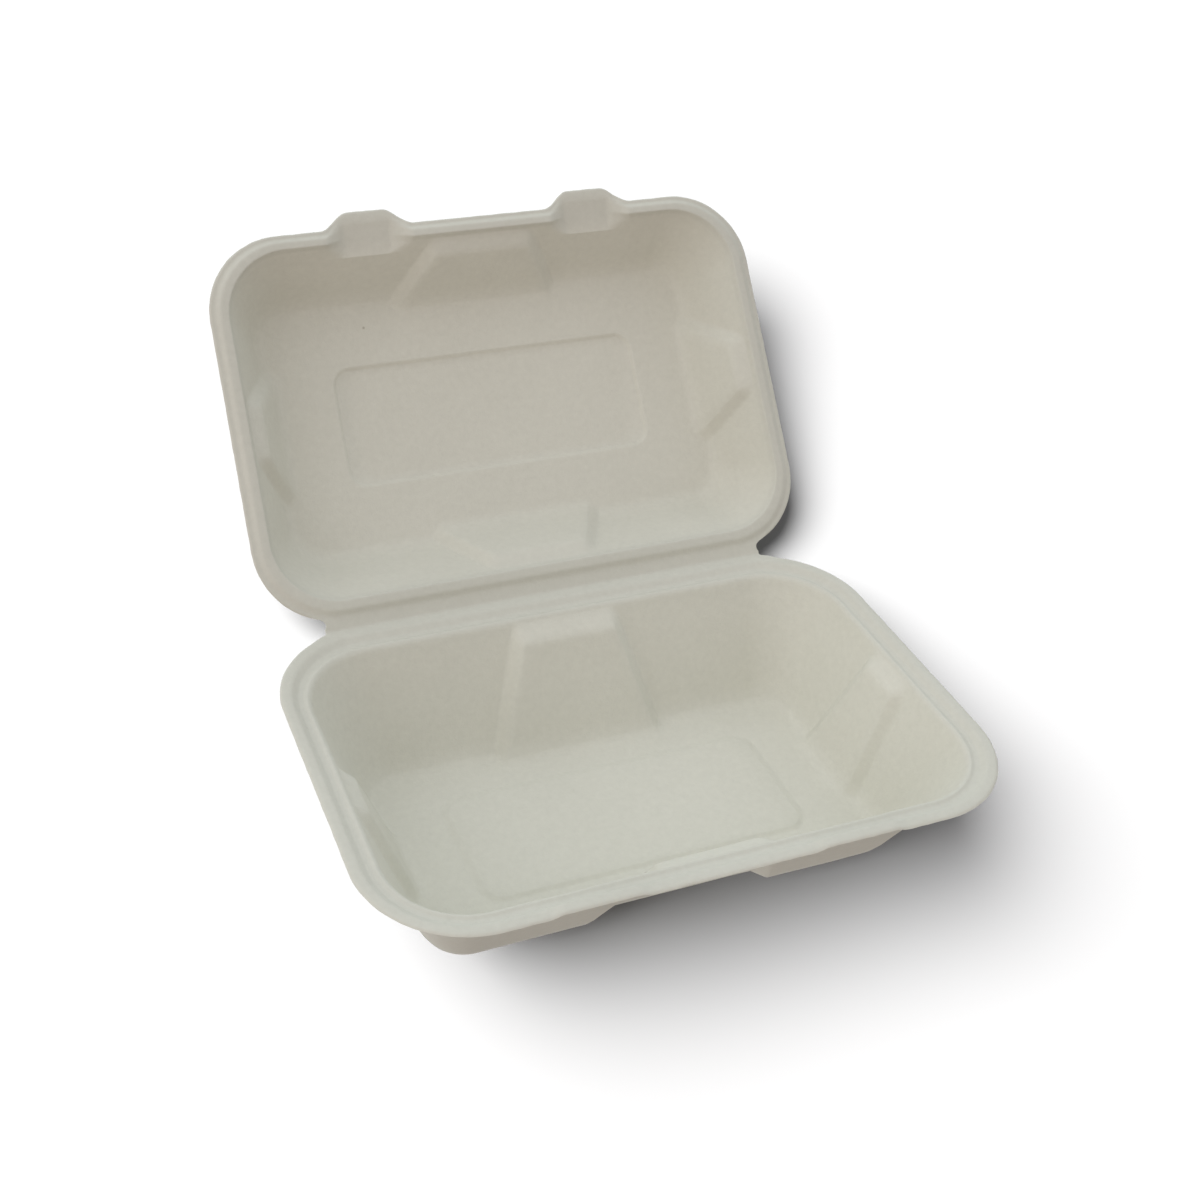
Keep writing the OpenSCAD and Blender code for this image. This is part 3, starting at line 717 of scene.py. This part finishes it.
def make_floor():
    mesh = bpy.data.meshes.new("floor")
    s = FLOOR_HALF
    mesh.from_pydata([(-s, -s, 0), (s, -s, 0), (s, s, 0), (-s, s, 0)], [], [(0, 1, 2, 3)])
    floor = bpy.data.objects.new("floor", mesh)
    bpy.context.scene.collection.objects.link(floor)
    mat = bpy.data.materials.new("floor")
    n = Nodes(mat)
    out = n.add("ShaderNodeOutputMaterial")
    diffuse = n.add("ShaderNodeBsdfDiffuse")
    diffuse.inputs["Color"].default_value = (FLOOR_GREY, FLOOR_GREY, FLOOR_GREY, 1)
    n.put(out.inputs["Surface"], diffuse.outputs[0])
    floor.data.materials.append(mat)
    floor.visible_diffuse = False
    return floor


# The key lamp's width in degrees, the floor's brightness under it, and how far it is turned away
# from the camera, up and to the left
KEY_ANGLE, KEY_LIGHT, KEY_UP, KEY_LEFT, KEY_TURN = 36, 0.93, 0.7, 0.75, 0.64


def make_key(floor):
    """A large soft lamp to the left of and above the camera, for the floor's shadow alone."""
    data = bpy.data.lights.new("key", "SUN")
    data.angle = math.radians(KEY_ANGLE)
    light = bpy.data.objects.new("key", data)
    cam = bpy.context.scene.camera.matrix_world
    right, up, back = (cam.col[k].xyz for k in range(3))
    d = (back + (up * KEY_UP - right * KEY_LEFT) * KEY_TURN).normalized()
    data.energy = KEY_LIGHT * math.pi / (FLOOR_GREY * d.z)
    light.location = d * 1.5
    light.rotation_mode = "QUATERNION"
    light.rotation_quaternion = d.to_track_quat("Z", "Y")
    bpy.context.scene.collection.objects.link(light)
    lit = bpy.data.collections.new("lit_by_key")
    lit.objects.link(floor)
    light.light_linking.receiver_collection = lit


# The world's light from each side: strength, then its slope along X, Y and Z of the upright
# tray, for red, green and blue, and what the ground adds below the horizon. Both sides are
# brighter by SIDES times the square of X
WORLD = [
    (0.75, (-0.32, 0.27, 0.28), 0.58),
    (0.728, (-0.28, 0.34, 0.325), 0.70),
    (0.725, (-0.27, 0.37, 0.37), 0.74),
]
SIDES = 0.28


def make_world():
    world = bpy.data.worlds.new("world")
    bpy.context.scene.world = world
    n = Nodes(world)
    out = n.add("ShaderNodeOutputWorld")
    coords = n.add("ShaderNodeTexCoord").outputs["Generated"]
    split = n.add("ShaderNodeSeparateXYZ")
    n.put(split.inputs[0], coords)
    below = n.math("MAXIMUM", n.math("MULTIPLY", split.outputs["Z"], -1.0), 0.0)
    sides = n.math("MULTIPLY", n.math("MULTIPLY", split.outputs["X"], split.outputs["X"]), SIDES)
    mixed = n.add("ShaderNodeCombineColor")
    for socket, (level, slope, ground) in zip(("Red", "Green", "Blue"), WORLD):
        dot = n.add("ShaderNodeVectorMath", operation="DOT_PRODUCT")
        n.put(dot.inputs[0], coords)
        n.put(dot.inputs[1], leaned(slope))
        sky = n.math("ADD", n.math("ADD", dot.outputs["Value"], level), sides)
        sky = n.math("MAXIMUM", sky, 0.0)
        n.put(mixed.inputs[socket], n.math("ADD", sky, n.math("MULTIPLY", below, ground)))
    plain = n.add("ShaderNodeBackground")
    n.put(plain.inputs["Color"], mixed.outputs[0])
    white = n.add("ShaderNodeBackground")
    n.put(white.inputs["Color"], (1, 1, 1, 1))
    path = n.add("ShaderNodeLightPath")
    seen = n.math("MAXIMUM", path.outputs["Is Camera Ray"], path.outputs["Is Glossy Ray"])
    seen = n.math("MAXIMUM", seen, path.outputs["Is Transmission Ray"])
    blend = n.add("ShaderNodeMixShader")
    n.put(blend.inputs[0], seen)
    n.put(blend.inputs[1], plain.outputs[0])
    n.put(blend.inputs[2], white.outputs[0])
    n.put(out.inputs["Surface"], blend.outputs[0])


shell = build_shell()
shell.data.materials.append(fibre_material())
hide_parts("tray", "lid")
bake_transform(shell)

floor = make_floor()
make_camera()
make_world()
make_key(floor)

bpy.context.scene.view_settings.view_transform = "Standard"
